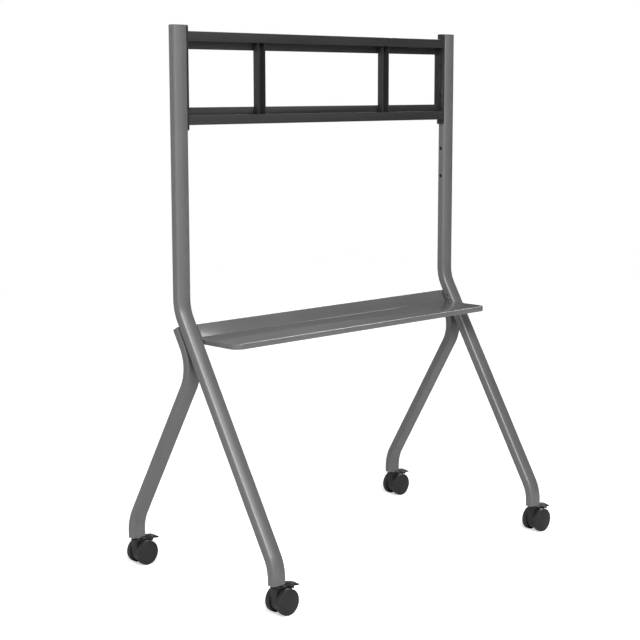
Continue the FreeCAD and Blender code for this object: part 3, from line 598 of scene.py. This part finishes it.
def bolt_rings(length, radius, shank, head, flats, plain):
    """Button head with a hexagonal socket, its top at height 0, on a threaded shank."""
    socket, deep = flats / 2 / math.cos(math.pi / HEXAGON), head * SOCKET_DEPTH
    dome = [(radius * math.sin(angle), head * (math.cos(angle) - 1) / DOME_FLATNESS, 0)
            for angle in map(math.radians, DOME_ANGLES)]
    return [(0, -deep * SOCKET_POINT, 0), (socket * SOCKET_FLOOR, -deep, HEXAGON),
            (socket, -deep * SOCKET_SIDES, HEXAGON), (socket, -CHAMFER, HEXAGON),
            (socket + CHAMFER, 0, 0), *dome,
            (radius, -head * DOME_FOOT, 0), (radius, -head, 0), (shank / 2, -head, 0),
            *thread(shank / 2, -head - plain, TIP_CHAMFER - length, THREAD_DEPTH),
            (shank / 2 - TIP_CHAMFER, -length, 0), (0, -length, 0)]


def rivet_nut_rings(length, radius, bore, body, flange):
    """Flanged bush with a threaded bore, its flange's face at height 0."""
    return [(bore / 2 + CHAMFER, 0, 0), (radius - flange / 2, 0, 0), (radius, -flange / 2, 0),
            (radius, -flange, 0), (body / 2, -flange, 0), (body / 2, -length, 0),
            (bore / 2 + CHAMFER, -length, 0),
            *thread(bore / 2, CHAMFER - length, -CHAMFER, -THREAD_DEPTH)]


def fasteners(node, rings, sizes, closed=False):
    """Every bolt, screw or nut of a node as one piece, drawn in rings on its own seat."""
    slot = OWN_SLOT.get(node, RECORD_SLOT[node])
    made = bmesh.new()
    for corners in bodies_of(node):
        place, length, radius = seat_of(corners)
        turned(made, rings(length, radius, *sizes), place, FASTENER_STEPS, closed)
    new_piece(node + "_detailed", made, slot, node)


# Stage. Lobes are a direction, then the cosines to it between which the lobe rises

FLOOR_HALF = 6.0
FLOOR_WHITE = (0.9, 0.9, 0.9, 1)
FLOOR_ROUGHNESS = 0.9
FLOOR_GLOW = 0.5
WORLD_LEVEL = 0.48
GLOSSY_LEVEL = 0.9
SHADE_LOBE = ((0.95, -0.3, 0.0), 0.35, 0.88)
SHADE_DEPTH = 0.85
FRONT_LOBE = ((-0.1, -0.98, -0.12), 0.6, 0.92)
FRONT_GLOW = 1.1
BACK_LOBE = ((0.68, 0.72, 0.16), 0.95, 0.99)
BACK_DEPTH = 0.65
STAND_MIDDLE = (0, 0, 0.8)
SHELF_MIDDLE = (0, -0.2, 0.72)
# Place, target, width, height, power, seen by diffuse rays, seen by glossy rays
LAMPS = {"key": ((-3.0, -5.2, 5.6), STAND_MIDDLE, 3.5, 3.5, 560, True, False),
         "sheen": ((-0.08, -5.85, 5.75), STAND_MIDDLE, 4.94, 4.4, 855, False, True),
         "side": ((-4.0, -1.0, 1.6), STAND_MIDDLE, 2.4, 2.4, 18, True, True),
         "fold_light": ((6.2, 3.9, 5.9), SHELF_MIDDLE, 3.4, 3.4, 500, False, True)}


def studio_floor():
    """A wide pale floor that shows white to the camera and keeps the stand's soft shadow."""
    made = Nodes("studio_white")
    made.set(Base_Color=FLOOR_WHITE, Roughness=FLOOR_ROUGHNESS)
    path = made.add("ShaderNodeLightPath")
    glow = made.add("ShaderNodeEmission")
    glow.inputs["Strength"].default_value = FLOOR_GLOW
    both = made.add("ShaderNodeAddShader")
    pick = made.add("ShaderNodeMixShader")
    made.link(made.shader, "BSDF", both, 0)
    made.link(glow, "Emission", both, 1)
    made.link(path, "Is Camera Ray", pick, "Fac")
    made.link(made.shader, "BSDF", pick, 1)
    made.link(both, "Shader", pick, 2)
    made.link(pick, "Shader", made.output, "Surface")
    half = FLOOR_HALF
    mesh = bpy.data.meshes.new("floor")
    mesh.from_pydata([(-half, -half, 0), (half, -half, 0), (half, half, 0), (-half, half, 0)],
                     [], [(0, 1, 2, 3)])
    mesh.materials.append(made.material)
    floor = bpy.data.objects.new("floor", mesh)
    bpy.context.scene.collection.objects.link(floor)


def studio_light():
    """White surroundings for the camera; for the object, a soft dome that is dimmer to its right
    and, in its reflections only, brighter in front and dimmer straight behind."""
    world = bpy.data.worlds.new("studio")
    bpy.context.scene.world = world
    world.use_nodes = True
    tree = world.node_tree
    tree.nodes.clear()

    def add(kind, **values):
        node = tree.nodes.new(kind)
        for key, value in values.items():
            setattr(node, key, value)
        return node

    def math_node(operation, first, second):
        node = add("ShaderNodeMath", operation=operation)
        for socket, value in zip(node.inputs, (first, second)):
            if isinstance(value, (int, float)):
                socket.default_value = value
            else:
                tree.links.new(value, socket)
        return node.outputs[0]

    way = add("ShaderNodeTexCoord").outputs["Generated"]

    def lobe(direction, edge, core):
        """0 to 1 as a ray's way turns from edge to core, both cosines to the direction."""
        dot = add("ShaderNodeVectorMath", operation="DOT_PRODUCT")
        tree.links.new(way, dot.inputs[0])
        dot.inputs[1].default_value = Vector(direction).normalized()
        ramp = add("ShaderNodeMapRange", interpolation_type="SMOOTHSTEP")
        ramp.inputs["From Min"].default_value = edge
        ramp.inputs["From Max"].default_value = core
        tree.links.new(dot.outputs["Value"], ramp.inputs["Value"])
        return ramp.outputs["Result"]

    path = add("ShaderNodeLightPath")
    glossy = path.outputs["Is Glossy Ray"]
    dim = math_node("MULTIPLY", lobe(*SHADE_LOBE), SHADE_DEPTH)
    glow = math_node("MULTIPLY", lobe(*FRONT_LOBE), FRONT_GLOW)
    glow = math_node("MULTIPLY", glow, glossy)
    dome = math_node("ADD", math_node("SUBTRACT", 1.0, dim), glow)
    far = math_node("MULTIPLY", lobe(*BACK_LOBE), BACK_DEPTH)
    far = math_node("MULTIPLY", far, glossy)
    dome = math_node("SUBTRACT", dome, far)
    level = add("ShaderNodeMapRange")
    level.inputs["To Min"].default_value = WORLD_LEVEL
    level.inputs["To Max"].default_value = GLOSSY_LEVEL
    tree.links.new(glossy, level.inputs["Value"])
    lit = math_node("MULTIPLY", dome, level.outputs["Result"])
    pick = add("ShaderNodeMapRange")
    tree.links.new(path.outputs["Is Camera Ray"], pick.inputs["Value"])
    tree.links.new(lit, pick.inputs["To Min"])
    pick.inputs["To Max"].default_value = 1.0
    back = add("ShaderNodeBackground")
    back.inputs["Color"].default_value = (1, 1, 1, 1)
    output = add("ShaderNodeOutputWorld")
    tree.links.new(pick.outputs["Result"], back.inputs["Strength"])
    tree.links.new(back.outputs[0], output.inputs["Surface"])


def area_light(name, place, target, width, height, power, diffuse, glossy):
    """A rectangular lamp, its place and size in metres and its power in watts."""
    data = bpy.data.lights.new(name, "AREA")
    data.shape = "RECTANGLE"
    data.size, data.size_y = width, height
    data.energy = power
    light = bpy.data.objects.new(name, data)
    aim = Vector(target) - Vector(place)
    light.rotation_mode = "QUATERNION"
    light.rotation_quaternion = aim.to_track_quat("-Z", "Y")
    light.location = place
    light.visible_diffuse, light.visible_glossy = diffuse, glossy
    bpy.context.scene.collection.objects.link(light)


for node in nodes:
    if "caster_wheel" in node:
        wheel(node, -1 if node.endswith("front") else 1)
for node in nodes:
    if node.endswith("caster_lever"):
        pedal(node)
end_lip("shelf_left_end_lip", 1)
end_lip("shelf_right_end_lip", -1)
for node, sizes in BOLTS.items():
    fasteners(node, bolt_rings, sizes)
for node, sizes in RIVET_NUTS.items():
    fasteners(node, rivet_nut_rings, sizes, closed=True)
make_camera()
dress_cad_nodes()
studio_floor()
studio_light()
for name, values in LAMPS.items():
    area_light(name, *values)
bpy.context.scene.view_settings.view_transform = "Standard"
